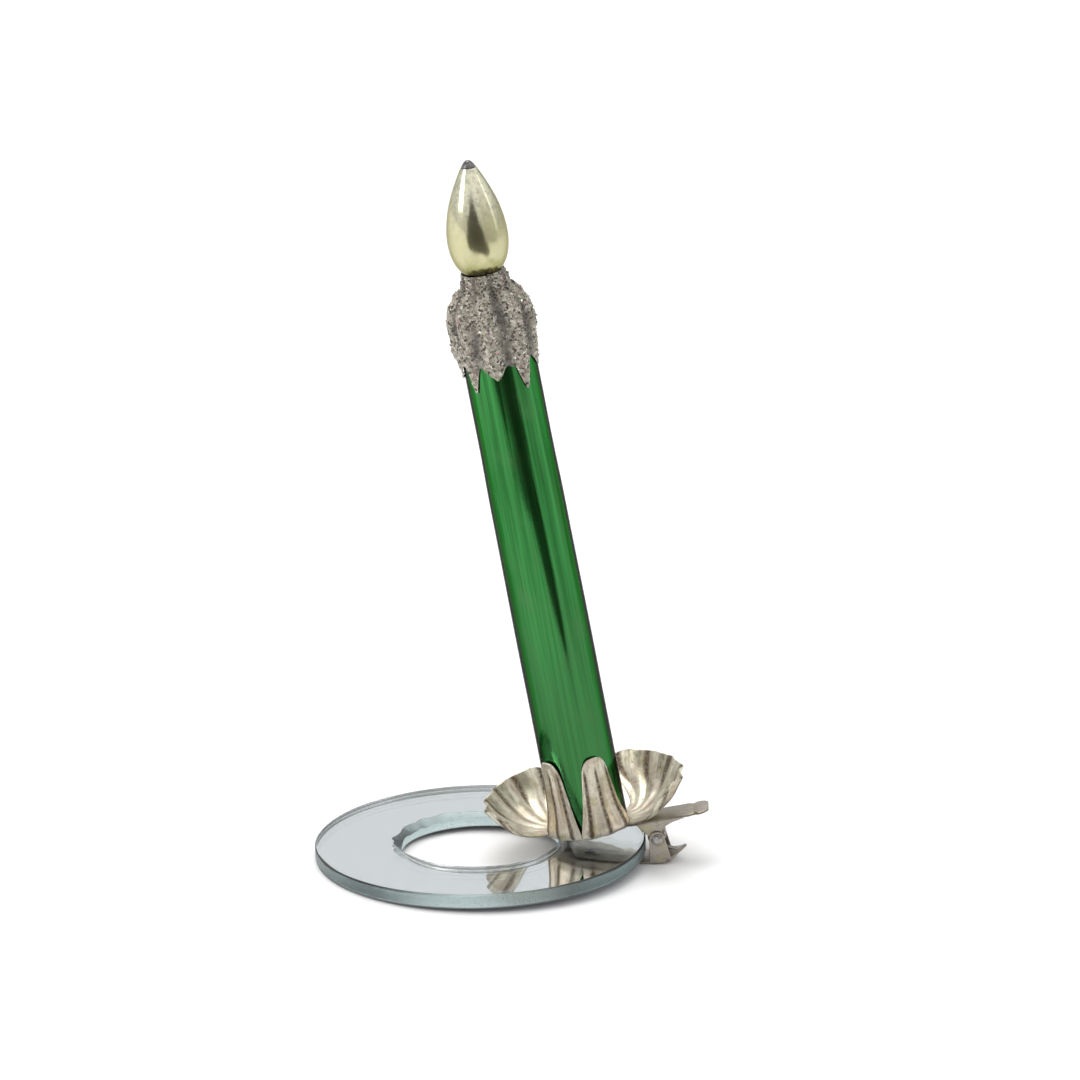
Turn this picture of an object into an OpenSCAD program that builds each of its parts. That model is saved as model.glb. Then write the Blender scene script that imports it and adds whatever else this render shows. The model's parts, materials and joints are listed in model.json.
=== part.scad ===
// Glass candle held in a sprung tinplate clip, gripping the rim of a flat mirror-glass ring.
// Millimetres. +X runs out along the clip's handles, +Y to the back, +Z up.
// The origin lies on the table, at the middle of the assembly's footprint.

/* [Mirror ring] */
// Outer diameter of the glass ring
ring_od = 54.6; // [50:0.1:56]
// Diameter of the hole through the ring
ring_id = 26; // [22:0.1:27]
// Thickness of the ring's glass
ring_glass_t = 2.3; // [2.1:0.1:2.5]
// Thickness of the silvering and paint under the glass
backing_t = 0.12; // [0.05:0.01:0.2]
// Margin between the backing and the edges of the glass
backing_inset = 0.15; // [0.1:0.05:0.4]
// Width of the narrow bevel ground on the glass edges
arris = 0.25; // [0.1:0.05:0.4]

/* [Clip] */
// Distance from the ring's centre to the pivot pin
pivot_x = 29.2; // [29:0.1:30]
// Height of the pivot pin above the underside of the ring
pivot_z = 2.7; // [2.6:0.1:2.8]
// Radius of the pivot pin
pin_r = 0.55; // [0.45:0.01:0.6]
// Thickness of the lower lever's sheet
lower_t = 0.4; // [0.3:0.05:0.5]
// Thickness of the upper lever's sheet
upper_t = 0.45; // [0.35:0.05:0.5]
// Slope of the upper lever against the ring
lever_slope = 8.85; // [7.5:0.05:9.2]
// Reach of the handle beyond the candle's axis
handle_reach = 19.8; // [18:0.1:22]
// Depth of the lower lever's bow, which stands on the table
bow_depth = 1.65; // [1.4:0.05:1.8]
// Radius of the spring wire
wire_r = 0.3; // [0.2:0.05:0.35]
// Mean radius of the spring's coil
coil_r = 1.25; // [1.1:0.05:1.3]
// Full turns of the spring's coil before its legs
coil_turns = 4; // [3:1:4]

/* [Drip pan] */
// Thickness of the pan's sheet
pan_t = 0.3; // [0.2:0.02:0.3]
// Reach of the two shell-shaped fans from the candle's axis
fan_reach = 16.1; // [15:0.1:18]
// Rise of the fans' rim above the pan's floor
fan_rise = 6.9; // [5:0.1:9]
// Depth of the flutes at the fans' rim
fan_flute = 1; // [0.3:0.05:1.2]
// Height of the prongs that grip the candle
prong_height = 13.6; // [10:0.1:15]
// Depth of the flutes pressed into the prongs
prong_flute = 0.35; // [0.1:0.05:0.4]

/* [Candle] */
// Outer diameter of the glass tube
tube_d = 12.5; // [12:0.05:12.5]
// Thickness of the tube's glass
tube_wall = 0.8; // [0.5:0.05:1.2]
// Height of the tube's open foot above the pan's underside
tube_foot = 0.6; // [0.5:0.05:1]
// Height at which the tube starts to round in to its neck
shoulder_z = 89; // [85:0.5:89.5]
// Length of the shoulder, from the tube to the neck
shoulder_h = 6.3; // [4:0.1:6.8]
// Diameter of the neck under the flame
neck_d = 6.9; // [6:0.1:7.5]
// Height of the joint between the neck and the flame
flame_z = 98.3; // [96.5:0.1:98.5]
// Height of the flame
flame_h = 19; // [18:0.1:24]
// Largest diameter of the flame
flame_d = 10.2; // [9:0.1:11]
// Tilt of the flame on its neck, towards the handles
flame_lean = 3.4; // [0:0.1:4]
// Thickness of the flame's glass
flame_wall = 0.7; // [0.5:0.05:0.8]

/* [Glitter drips] */
// Number of drips round the collar
drip_count = 9; // [7:1:10]
// Mean distance from the flame down to the drips' lower edge
drip_fall = 15; // [13:0.5:17]
// Extra length of the longest drips
drip_extra = 4.8; // [2:0.1:8]
// Thickness of the crust between the drips
crust_t = 0.35; // [0.3:0.05:0.6]
// Extra thickness at the crown of each drip
crust_lump = 0.65; // [0.3:0.05:0.8]

/* [Hidden] */
$fn = 64;

ring_r = ring_od / 2;
hole_r = ring_id / 2;
ring_top = backing_t + ring_glass_t;
seat_r = ring_r - backing_inset;

// The ring leans on its left edge and on the lower lever's bow, so its right side is raised.
bow_x = 29;
ring_tilt = atan(bow_depth / (seat_r + bow_x));
footprint_x = 5.15;

// The lever frame: origin on top of the upper lever, at the candle's axis.
axis_x = 18.38;
lever_top = 4.3;
touch_gap = 0.02;
ear_in = 2.5;
ear_t = 0.35;
ear_gap = 0.15;
lower_ear_in = ear_in + ear_t + ear_gap;
lower_half = lower_ear_in + ear_t;
upper_half = ear_in + ear_t;
pin_free = 0.05;
pin_tight = 0.01;
pin_head_r = 0.95;
pin_head_t = 0.3;
ear_r = 1.3;
rivet_r = 0.8;

// Where the pivot lies in the lever frame.
pivot_s = (pivot_x - axis_x) * cos(lever_slope) + (pivot_z - lever_top) * sin(lever_slope);
pivot_h = (pivot_z - lever_top) * cos(lever_slope) - (pivot_x - axis_x) * sin(lever_slope);

// Where the ring's top face lies in the lever frame, at a distance s along the lever.
function ring_face(s) = (ring_top - lever_top - s * sin(lever_slope)) / cos(lever_slope);

// The ring's own frame, set down on the table.
module stand_up() {
    translate([-seat_r - footprint_x, 0, 0])
        rotate([0, -ring_tilt, 0])
            translate([seat_r, 0, 0])
                children();
}

// The upper lever's frame, carried on the ring's frame. Its Z axis is the candle's axis.
module on_lever() {
    stand_up()
        translate([axis_x, 0, lever_top])
            rotate([0, -lever_slope, 0])
                children();
}

// Helpers for bent sheet: a path in X and Z becomes a strip of even thickness.
function unit(v) = v / norm(v);

function heading(path, i) = unit(path[min(i + 1, len(path) - 1)] - path[max(i - 1, 0)]);

function beside(path, i, d) = path[i] + d * [-heading(path, i)[1], heading(path, i)[0]];

function bezier(a, b, c, d, t) =
    pow(1 - t, 3) * a + 3 * pow(1 - t, 2) * t * b + 3 * (1 - t) * t * t * c + pow(t, 3) * d;

module strip(path, thick, width) {
    last = len(path) - 1;
    over = [for (i = [0 : last]) beside(path, i, thick / 2)];
    under = [for (i = [last : -1 : 0]) beside(path, i, -thick / 2)];
    rotate([90, 0, 0])
        translate([0, 0, -width / 2])
            linear_extrude(width)
                polygon(concat(over, under));
}

// Both side walls of a lever, from one outline in X and Z.
module side_walls(inner) {
    for (y = [-inner, inner + ear_t])
        translate([0, y, 0])
            rotate([90, 0, 0])
                linear_extrude(ear_t)
                    children();
}

module plan_prism() {
    translate([0, 0, -10])
        linear_extrude(30)
            children();
}

// Ring

module ring_glass() {
    color([0.78, 0.88, 0.86])
        stand_up()
            rotate_extrude($fn = 128)
                polygon([
                    [hole_r + arris, backing_t],
                    [ring_r - arris, backing_t],
                    [ring_r, backing_t + arris],
                    [ring_r, ring_top - arris],
                    [ring_r - arris, ring_top],
                    [hole_r + arris, ring_top],
                    [hole_r, ring_top - arris],
                    [hole_r, backing_t + arris]
                ]);
}

module mirror_backing() {
    inner_r = hole_r + arris + backing_inset;
    color([0.55, 0.56, 0.56])
        stand_up()
            difference() {
                cylinder(h = backing_t, r = seat_r, $fn = 128);
                translate([0, 0, -1])
                    cylinder(h = backing_t + 2, r = inner_r, $fn = 128);
            }
}

// Lower lever: jaw under the ring, a bow that stands on the table, a short pointed handle

jaw_x = 16.4;
lower_lip = [14.9, -0.85];
lower_jaw = [jaw_x, -lower_t / 2 - touch_gap];
lower_bow = [bow_x, lower_t / 2 - bow_depth];
lower_end = [34, 0.55];
path_steps = 10;

lower_path = concat(
    [for (i = [0 : path_steps - 1])
        bezier(lower_lip, lower_lip + [0.5, 0.4], lower_jaw - [0.5, 0], lower_jaw, i / path_steps)],
    [for (i = [0 : path_steps - 1])
        bezier(lower_jaw, lower_jaw + [4, 0], lower_bow - [4, 0], lower_bow, i / path_steps)],
    [for (i = [0 : path_steps])
        bezier(lower_bow, lower_bow + [1.6, 0], lower_end - [1.6, 1], lower_end, i / path_steps)]
);

module lower_outline() {
    jaw_half = 2.6;
    corner = 0.8;
    taper_x = 31.6;
    tip_half = 0.8;
    hull() {
        for (y = [-1, 1])
            translate([lower_lip[0] + corner - 0.2, y * (jaw_half - corner)])
                circle(corner);
        translate([23, -jaw_half])
            square([0.1, 2 * jaw_half]);
    }
    polygon([
        [22.9, -jaw_half],
        [26.5, -lower_half],
        [taper_x, -lower_half],
        [lower_end[0] - 0.5, -tip_half],
        [lower_end[0] - 0.5, tip_half],
        [taper_x, lower_half],
        [26.5, lower_half],
        [22.9, jaw_half]
    ]);
    translate([lower_end[0] - 0.6, 0])
        circle(tip_half);
}

module lower_ear() {
    left = pivot_x - ear_r;
    right = 31.6;
    foot = [for (p = lower_path) if (p[0] > left && p[0] < right) p];
    difference() {
        union() {
            polygon(concat([[left, lower_bow[1]]], foot, [[pivot_x + ear_r, pivot_z], [left, pivot_z]]));
            translate([pivot_x, pivot_z])
                circle(ear_r);
        }
        translate([pivot_x, pivot_z])
            circle(pin_r + pin_tight);
    }
}

module lower_lever() {
    color([0.72, 0.69, 0.66])
        stand_up() {
            intersection() {
                strip(lower_path, lower_t, 2 * lower_half);
                plan_prism()
                    lower_outline();
            }
            side_walls(lower_ear_in)
                lower_ear();
        }
}

// Pivot

module pivot_pin() {
    head_y = lower_half + 0.03;
    color([0.62, 0.6, 0.58])
        stand_up()
            translate([pivot_x, 0, pivot_z])
                rotate([90, 0, 0]) {
                    cylinder(h = 2 * head_y + 0.2, r = pin_r, center = true);
                    for (s = [-1, 1])
                        translate([0, 0, s * (head_y + pin_head_t / 2)])
                            cylinder(h = pin_head_t, r = pin_head_r, center = true);
                }
}

// Torsion spring: one round wire, coiled on the pin, with a leg under each handle

leg_down = 15.5;
leg_up = 21;
leg_down_length = 3.9;
leg_up_length = 5.6;
wire_sides = 8;
coil_steps = 20;
coil_half_y = 1.75;

// Turning a from 0 at the bottom of the coil, up on the ring's side and over the top.
function coil_point(a, y) = [-coil_r * sin(a), y, -coil_r * cos(a)];

function leg_dir(a) = [-cos(a), 0, sin(a)];

coil_from = leg_down;
coil_to = 180 - leg_up + 360 * coil_turns;
coil_count = coil_steps * coil_turns + 8;

spring_path = concat(
    [coil_point(coil_from, -coil_half_y) - leg_down_length * leg_dir(coil_from)],
    [for (i = [0 : coil_count])
        let (f = i / coil_count)
        coil_point(coil_from + f * (coil_to - coil_from), coil_half_y * (2 * f - 1))],
    [coil_point(coil_to, coil_half_y) + leg_up_length * leg_dir(coil_to)]
);

// A ring of points round the wire, at point i of its path.
function wire_ring(path, i) =
    let (
        d = unit(path[min(i + 1, len(path) - 1)] - path[max(i - 1, 0)]),
        u = unit(cross(d, [0, 1, 0])),
        v = cross(d, u)
    )
    [for (k = [0 : wire_sides - 1])
        path[i] + wire_r * (cos(k * 360 / wire_sides) * u + sin(k * 360 / wire_sides) * v)];

module torsion_spring() {
    last = len(spring_path) - 1;
    n = wire_sides;
    points = [for (i = [0 : last]) each wire_ring(spring_path, i)];
    walls = [for (i = [0 : last - 1], k = [0 : n - 1])
        each [
            [i * n + k, i * n + (k + 1) % n, (i + 1) * n + (k + 1) % n],
            [i * n + k, (i + 1) * n + (k + 1) % n, (i + 1) * n + k]
        ]];
    first_cap = [for (k = [n - 1 : -1 : 0]) k];
    last_cap = [for (k = [0 : n - 1]) last * n + k];
    color([0.5, 0.49, 0.48])
        stand_up()
            translate([pivot_x, 0, pivot_z])
                polyhedron(points, concat([first_cap, last_cap], walls));
}

// Upper lever: turned-down jaw, straight strip under the pan, long handle with a rounded end

contact_s = -3.9;
upper_mid = -upper_t / 2;
jaw_mid = ring_face(contact_s) + touch_gap + upper_t / 2;
upper_path = concat(
    [for (i = [0 : path_steps - 1])
        bezier([-5, jaw_mid + 0.55], [-4.6, jaw_mid + 0.1], [-4.3, jaw_mid], [contact_s, jaw_mid],
            i / path_steps)],
    [for (i = [0 : path_steps - 1])
        bezier([contact_s, jaw_mid], [-3.3, jaw_mid], [-3.2, upper_mid], [-2.3, upper_mid],
            i / path_steps)],
    [[-2.3, upper_mid], [17, upper_mid]],
    [[handle_reach, upper_mid + 0.12]]
);

module upper_outline() {
    jaw_half = 2.5;
    corner = 0.8;
    end_half = 2.9;
    waist_half = 2.5;
    waist_s = handle_reach - 2.5;
    hull() {
        for (y = [-1, 1])
            translate([-5 + corner, y * (jaw_half - corner)])
                circle(corner);
        translate([5, -jaw_half])
            square([0.1, 2 * jaw_half]);
    }
    polygon([
        [5, -jaw_half],
        [7.5, -upper_half],
        [waist_s - 1, -upper_half],
        [waist_s, -waist_half],
        [handle_reach - 1.8, -end_half],
        [handle_reach - 1.8, end_half],
        [waist_s, waist_half],
        [waist_s - 1, upper_half],
        [7.5, upper_half],
        [5, jaw_half]
    ]);
    hull()
        for (y = [-1, 1])
            translate([handle_reach - 1.85, y * (end_half - 1.8)])
                circle(1.8);
}

module upper_ear() {
    difference() {
        union() {
            polygon([
                [7.4, upper_mid],
                [pivot_s - ear_r, pivot_h + 0.6],
                [pivot_s - ear_r, pivot_h],
                [pivot_s + ear_r, pivot_h],
                [pivot_s + 0.9, pivot_h + 1.15],
                [12.2, -1.35],
                [13.5, -0.85],
                [15.5, -0.5],
                [15.5, upper_mid]
            ]);
            translate([pivot_s, pivot_h])
                circle(ear_r);
        }
        translate([pivot_s, pivot_h])
            circle(pin_r + pin_free);
    }
}

module upper_lever() {
    color([0.76, 0.73, 0.7])
        on_lever()
            difference() {
                union() {
                    intersection() {
                        strip(upper_path, upper_t, 8);
                        plan_prism()
                            upper_outline();
                    }
                    side_walls(ear_in)
                        upper_ear();
                }
                translate([0, 0, -1])
                    cylinder(h = 2, r = rivet_r + pin_tight);
            }
}

// Rivet through the pan and the upper lever

module pan_rivet() {
    head_r = 1.9;
    head_t = 0.3;
    tail_r = 1.3;
    tail_t = 0.3;
    seat = pan_t + 2 * touch_gap;
    color([0.66, 0.64, 0.6])
        on_lever() {
            translate([0, 0, seat])
                cylinder(h = head_t, r1 = head_r, r2 = head_r - 0.4);
            translate([0, 0, -upper_t - touch_gap - tail_t])
                cylinder(h = tail_t, r = tail_r);
            translate([0, 0, -upper_t - touch_gap - tail_t / 2])
                cylinder(h = upper_t + seat + tail_t, r = rivet_r);
        }
}

// Drip pan: one stamped sheet with two fluted fans and four fluted prongs

// Smooth curve through the points of a list, at t from 0 to 1.
function spline(points, t) =
    let (
        n = len(points) - 1,
        i = min(floor(t * n), n - 1),
        f = t * n - i,
        p0 = points[max(i - 1, 0)],
        p1 = points[i],
        p2 = points[i + 1],
        p3 = points[min(i + 2, n)]
    )
    0.5 * (2 * p1 + (p2 - p0) * f + (2 * p0 - 5 * p1 + 4 * p2 - p3) * f * f
        + (3 * p1 - p0 - 3 * p2 + p3) * f * f * f);

tube_r = tube_d / 2;
pan_mid = pan_t / 2 + touch_gap;
floor_r = 6.2;
grip_r = tube_r + 0.07 + pan_t / 2;

// Radius and height along a fan, and along a prong, outward from the pan's flat floor.
fan_curve = [
    [floor_r, pan_mid],
    [8.3, pan_mid + 0.2],
    [floor_r + 0.42 * (fan_reach - floor_r), pan_mid + 0.13 * fan_rise],
    [floor_r + 0.67 * (fan_reach - floor_r), pan_mid + 0.36 * fan_rise],
    [floor_r + 0.86 * (fan_reach - floor_r), pan_mid + 0.66 * fan_rise],
    [fan_reach, pan_mid + fan_rise]
];
prong_curve = [
    [floor_r, pan_mid],
    [grip_r + 0.55, pan_mid + 0.15],
    [grip_r + 0.8, 0.09 * prong_height],
    [grip_r + 0.5, 0.2 * prong_height],
    [grip_r + 0.14, 0.36 * prong_height],
    [grip_r, 0.6 * prong_height],
    [grip_r, 0.84 * prong_height],
    [grip_r + 0.1, 0.94 * prong_height],
    [grip_r + 0.35, prong_height]
];

// Each petal: start and end of its foot, start and end of its tip (degrees), curve, columns,
// flutes, flute depth, and squareness of its outline (2 is round, higher is squarer).
petals = [
    [-24, 36, -43, 80, fan_curve, 36, 6, fan_flute, 12],
    [36, 86, 40, 80, prong_curve, 15, 3, prong_flute, 2.6],
    [86, 134, 90, 130, prong_curve, 15, 3, prong_flute, 2.6],
    [134, 192, 108, 219, fan_curve, 36, 6, fan_flute, 12],
    [192, 259, 200, 244, prong_curve, 16, 3, prong_flute, 2.6],
    [259, 336, 271, 317, prong_curve, 16, 3, prong_flute, 2.6]
];
notch_reach = 0.1;
pan_rows = 11;

// How far the sheet runs along its curve at s, from -1 on one side of the petal to 1 on the other.
function petal_reach(petal, s) =
    notch_reach + (1 - notch_reach) * pow(1 - pow(abs(s), petal[8]), 1 / 2.2);

function petal_point(petal, s, t) =
    let (
        at = spline(petal[4], t),
        spread = pow(t, 3) * (10 - 15 * t + 6 * t * t),
        foot = petal[0] + (petal[1] - petal[0]) * (s + 1) / 2,
        tip = petal[2] + (petal[3] - petal[2]) * (s + 1) / 2,
        a = foot + (tip - foot) * spread
    )
    [at[0] * cos(a), at[0] * sin(a), at[1]];

// Unit normal of the sheet, pointing to the candle's side.
function petal_normal(petal, s, t) =
    let (
        d = 0.01,
        across = petal_point(petal, s + d, t) - petal_point(petal, s - d, t),
        t0 = max(t - d, 0),
        along = petal_point(petal, s, min(t0 + 2 * d, 1)) - petal_point(petal, s, min(t0, 1 - 2 * d))
    )
    unit(cross(along, across));

// Flutes swell from nothing at the floor and at the petal's sides.
function flute(petal, s, t) =
    petal[7] * (petal[8] > 3 ? pow(t, 1.3) : 4 * t * pow(1 - t, 1.2))
        * (0.5 - 0.5 * cos(180 * petal[6] * (s + 1)));

function sheet_pair(petal, s, row) =
    let (
        t = petal_reach(petal, s) * row / pan_rows,
        n = petal_normal(petal, s, t),
        p = petal_point(petal, s, t) - n * flute(petal, s, t)
    )
    [p + n * pan_t / 2, p - n * pan_t / 2];

pan_columns = [for (petal = petals, k = [0 : petal[5] - 1]) [petal, 2 * k / petal[5] - 1]];

module drip_pan() {
    cols = len(pan_columns);
    rows = pan_rows + 1;
    hole = rivet_r + 0.06;
    rim = [for (c = pan_columns)
        let (a = c[0][0] + (c[0][1] - c[0][0]) * (c[1] + 1) / 2)
        [hole * cos(a), hole * sin(a)]];
    pairs = [for (c = pan_columns, row = [0 : pan_rows]) sheet_pair(c[0], c[1], row)];
    over = concat([for (p = pairs) p[0]], [for (p = rim) [p[0], p[1], pan_mid + pan_t / 2]]);
    under = concat([for (p = pairs) p[1]], [for (p = rim) [p[0], p[1], pan_mid - pan_t / 2]]);
    m = len(over);
    // Index of a point: row -1 is the rivet hole, the other rows run outward.
    function at(c, row) = row < 0 ? cols * rows + c % cols : (c % cols) * rows + row;
    faces = [for (c = [0 : cols - 1], row = [-1 : pan_rows - 1])
        each [
            [at(c, row), at(c + 1, row), at(c + 1, row + 1), at(c, row + 1)],
            [m + at(c, row), m + at(c, row + 1), m + at(c + 1, row + 1), m + at(c + 1, row)]
        ]];
    edges = [for (c = [0 : cols - 1])
        each [
            [at(c, pan_rows), at(c + 1, pan_rows), m + at(c + 1, pan_rows), m + at(c, pan_rows)],
            [at(c, -1), m + at(c, -1), m + at(c + 1, -1), at(c + 1, -1)]
        ]];
    color([0.8, 0.77, 0.72])
        on_lever()
            polyhedron(concat(over, under), concat(faces, edges));
}

// Candle

neck_r = neck_d / 2;
shoulder_end = shoulder_z + shoulder_h;

// Radius of the glass at height z, over the tube, the shoulder and the neck.
function glass_r(z) =
    z < shoulder_z ? tube_r
    : z > shoulder_end ? neck_r
    : let (f = (z - shoulder_z) / shoulder_h)
        neck_r + (tube_r - neck_r) * pow(max(0, 1 - pow(f, 2.4)), 0.7);

module candle_tube() {
    steps = 12;
    foot_edge = 0.3;
    heights = [for (i = [0 : steps]) shoulder_z + shoulder_h * i / steps];
    outside = concat(
        [[tube_r - foot_edge, tube_foot], [tube_r, tube_foot + foot_edge]],
        [for (z = heights) [glass_r(z), z]],
        [[neck_r, flame_z]]
    );
    inside = concat(
        [[neck_r - tube_wall, flame_z]],
        [for (i = [steps : -1 : 0]) [glass_r(heights[i]) - tube_wall, heights[i] - tube_wall * 0.6]],
        [[tube_r - tube_wall, tube_foot]]
    );
    color([0.18, 0.5, 0.25])
        on_lever()
            rotate_extrude($fn = 96)
                polygon(concat(outside, inside));
}

// Lift that keeps the tilted flame's foot clear of the neck.
neck_lift = neck_r * sin(flame_lean) + touch_gap;

// Radius and height of the flame, as a share of its height, from its foot to its sealed tip.
flame_curve = [
    [neck_r, 0],
    [0.86 * flame_d / 2, 0.085],
    [0.97 * flame_d / 2, 0.19],
    [flame_d / 2, 0.31],
    [0.95 * flame_d / 2, 0.44],
    [0.82 * flame_d / 2, 0.59],
    [0.61 * flame_d / 2, 0.74],
    [0.38 * flame_d / 2, 0.87],
    [0.25 * flame_d / 2, 0.935]
];

module on_neck() {
    on_lever()
        translate([0, 0, flame_z])
            rotate([0, flame_lean, 0])
                translate([0, 0, neck_lift])
                    children();
}

module flame_bulb() {
    steps = 28;
    curve = [for (i = [0 : steps]) spline(flame_curve, i / steps)];
    outside = [for (p = curve) [p[0], p[1] * flame_h]];
    inside = [for (i = [steps : -1 : 0]) [max(curve[i][0] - flame_wall, 0.3), curve[i][1] * flame_h]];
    color([0.86, 0.82, 0.58])
        on_neck()
            rotate_extrude($fn = 96)
                polygon(concat(outside, inside));
}

module flame_tip() {
    last = flame_curve[len(flame_curve) - 1];
    base = last[1] * flame_h;
    h = flame_h * (1 - last[1]);
    color([0.3, 0.31, 0.3])
        on_neck()
            rotate_extrude($fn = 96)
                polygon([
                    [0, base],
                    [last[0], base],
                    [0.78 * last[0], base + 0.4 * h],
                    [0.5 * last[0], base + 0.75 * h],
                    [0.22 * last[0], base + 0.96 * h],
                    [0, base + h]
                ]);
}

// Glitter drips: a lumpy crust over the neck, the shoulder and the top of the tube

crust_gap = 0.12;
drip_cols = 72;
drip_rows = 20;

drip_phase = 117;
longest_drip = 236;

function drip_crown(a) = pow(0.5 + 0.5 * cos(drip_count * a + drip_phase + 25 * sin(2 * a)), 1.4);

function drip_low(a) =
    flame_z - drip_fall - drip_extra * drip_crown(a) * (0.7 + 0.3 * cos(5 * (a - longest_drip)));

// Height of a row of the crust, from its lower edge at row 0 to the flame.
function drip_height(a, row) =
    let (f = row / drip_rows)
    drip_low(a) + (flame_z - 0.5 - drip_low(a)) * pow(f, 0.85);

function drip_thick(a, row) =
    let (
        f = row / drip_rows,
        edge = min(1, 6 * f) * min(1, 0.35 + 5 * (1 - f)),
        swell = crust_lump * drip_crown(a) * (0.35 + 0.65 * sin(150 * f)),
        lumps = 0.18 * sin(5 * a + 300 * f) * sin(4 * a - 500 * f)
    )
    edge * (crust_t + swell * (1 - pow(f, 6)) + lumps) + 0.06;

module glitter_drips() {
    cols = drip_cols;
    rows = drip_rows + 1;
    spots = [for (c = [0 : cols - 1], row = [0 : drip_rows]) [c * 360 / cols, row]];
    inner = [for (p = spots)
        let (z = drip_height(p[0], p[1]), r = glass_r(z) + crust_gap)
        [r * cos(p[0]), r * sin(p[0]), z]];
    outer = [for (p = spots)
        let (z = drip_height(p[0], p[1]), r = glass_r(z) + crust_gap + drip_thick(p[0], p[1]))
        [r * cos(p[0]), r * sin(p[0]), z]];
    m = cols * rows;
    function at(c, row) = (c % cols) * rows + row;
    walls = [for (c = [0 : cols - 1], row = [0 : drip_rows - 1])
        each [
            [at(c, row), at(c + 1, row), at(c + 1, row + 1), at(c, row + 1)],
            [m + at(c, row), m + at(c, row + 1), m + at(c + 1, row + 1), m + at(c + 1, row)]
        ]];
    ends = [for (c = [0 : cols - 1])
        each [
            [at(c, drip_rows), at(c + 1, drip_rows), m + at(c + 1, drip_rows), m + at(c, drip_rows)],
            [at(c, 0), m + at(c, 0), m + at(c + 1, 0), at(c + 1, 0)]
        ]];
    color([0.62, 0.58, 0.52])
        on_lever()
            polyhedron(concat(inner, outer), concat(walls, ends));
}

ring_glass();
mirror_backing();
lower_lever();
pivot_pin();
torsion_spring();
upper_lever();
pan_rivet();
drip_pan();
candle_tube();
glitter_drips();
flame_bulb();
flame_tip();
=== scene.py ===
"""Looks of a blown-glass candle, held in a sprung tinplate clip on the rim of a mirror-glass ring.

Each piece stands for the CAD node of the same shape. Pieces are built in millimetres in one of two local
frames, then placed in the model's frame: the ring's frame (origin under the middle of the ring, Z square to
the glass) and the lever's frame (origin on the upper lever, Z along the candle's axis).
"""

import json
import math
import random

import bpy
import numpy as np
from mathutils import Matrix, Vector, noise
from mathutils.geometry import tessellate_polygon


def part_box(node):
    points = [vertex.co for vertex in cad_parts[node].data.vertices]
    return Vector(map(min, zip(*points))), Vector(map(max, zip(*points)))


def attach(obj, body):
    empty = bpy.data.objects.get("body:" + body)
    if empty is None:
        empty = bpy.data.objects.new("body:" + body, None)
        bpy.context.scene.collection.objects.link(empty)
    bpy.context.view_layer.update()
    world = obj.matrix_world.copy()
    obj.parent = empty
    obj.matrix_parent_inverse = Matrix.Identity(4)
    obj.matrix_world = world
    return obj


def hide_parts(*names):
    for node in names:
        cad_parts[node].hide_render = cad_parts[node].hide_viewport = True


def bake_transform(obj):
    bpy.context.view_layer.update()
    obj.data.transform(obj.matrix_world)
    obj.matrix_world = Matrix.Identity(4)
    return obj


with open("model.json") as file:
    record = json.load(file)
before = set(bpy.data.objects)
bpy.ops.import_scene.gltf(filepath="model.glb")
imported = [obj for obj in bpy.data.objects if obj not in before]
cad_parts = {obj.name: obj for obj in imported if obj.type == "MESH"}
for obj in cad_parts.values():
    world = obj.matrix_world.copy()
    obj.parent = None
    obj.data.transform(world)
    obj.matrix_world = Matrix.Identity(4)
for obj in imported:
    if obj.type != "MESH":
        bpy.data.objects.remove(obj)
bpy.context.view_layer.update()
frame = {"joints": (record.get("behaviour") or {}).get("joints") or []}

MM = 0.001
SEED = 12
TAU = 2 * math.pi

# ---------------------------------------------------------------- places, from the frame

joints = {j["name"]: j for j in frame["joints"]}


def half_width(node):
    low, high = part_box(node)
    return (high.y - low.y) / 2 / MM


def middle(node):
    low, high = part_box(node)
    return (low + high) / 2


def turn(angle):
    """A turn that raises +X, as the ring and the levers are raised."""
    return Matrix.Rotation(-angle, 4, "Y")


slide_axis = Vector(joints["clip_slide"]["axis"])
candle_axis = Vector(joints["candle_lift"]["axis"])
ring_tilt = math.atan2(slide_axis.z, slide_axis.x)
lever_slope = math.atan2(-candle_axis.x, candle_axis.z) - ring_tilt

ring_glass_t = 2.3
backing_t = 0.12
ring_top = backing_t + ring_glass_t
axis_x = 18.38
lever_top = 4.3

glass_middle = Matrix.Translation(middle("ring_glass"))
ON_RING = glass_middle @ turn(ring_tilt) @ Matrix.Translation((0, 0, -(backing_t + ring_glass_t / 2) * MM))
ON_LEVER = ON_RING @ Matrix.Translation((axis_x * MM, 0, lever_top * MM)) @ turn(lever_slope)

pivot_world = Vector(joints["jaw_pivot"]["pos_m"])
pivot_ring = ON_RING.inverted() @ pivot_world / MM
pivot_lever = ON_LEVER.inverted() @ pivot_world / MM

# ---------------------------------------------------------------- mesh helpers


def grid_faces(rows, cols, wrap_rows=False, first=0):
    """Quads over a grid of points, numbered row by row, that closes round its columns."""
    faces = []
    for i in range(rows if wrap_rows else rows - 1):
        for j in range(cols):
            a, b = i, (i + 1) % rows
            c, d = j, (j + 1) % cols
            faces.append([first + k for k in (a * cols + c, a * cols + d, b * cols + d, b * cols + c)])
    return faces


def fan_faces(ring, centre, flip=False):
    faces = [[ring[k], ring[(k + 1) % len(ring)], centre] for k in range(len(ring))]
    return [f[::-1] for f in faces] if flip else faces


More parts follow.
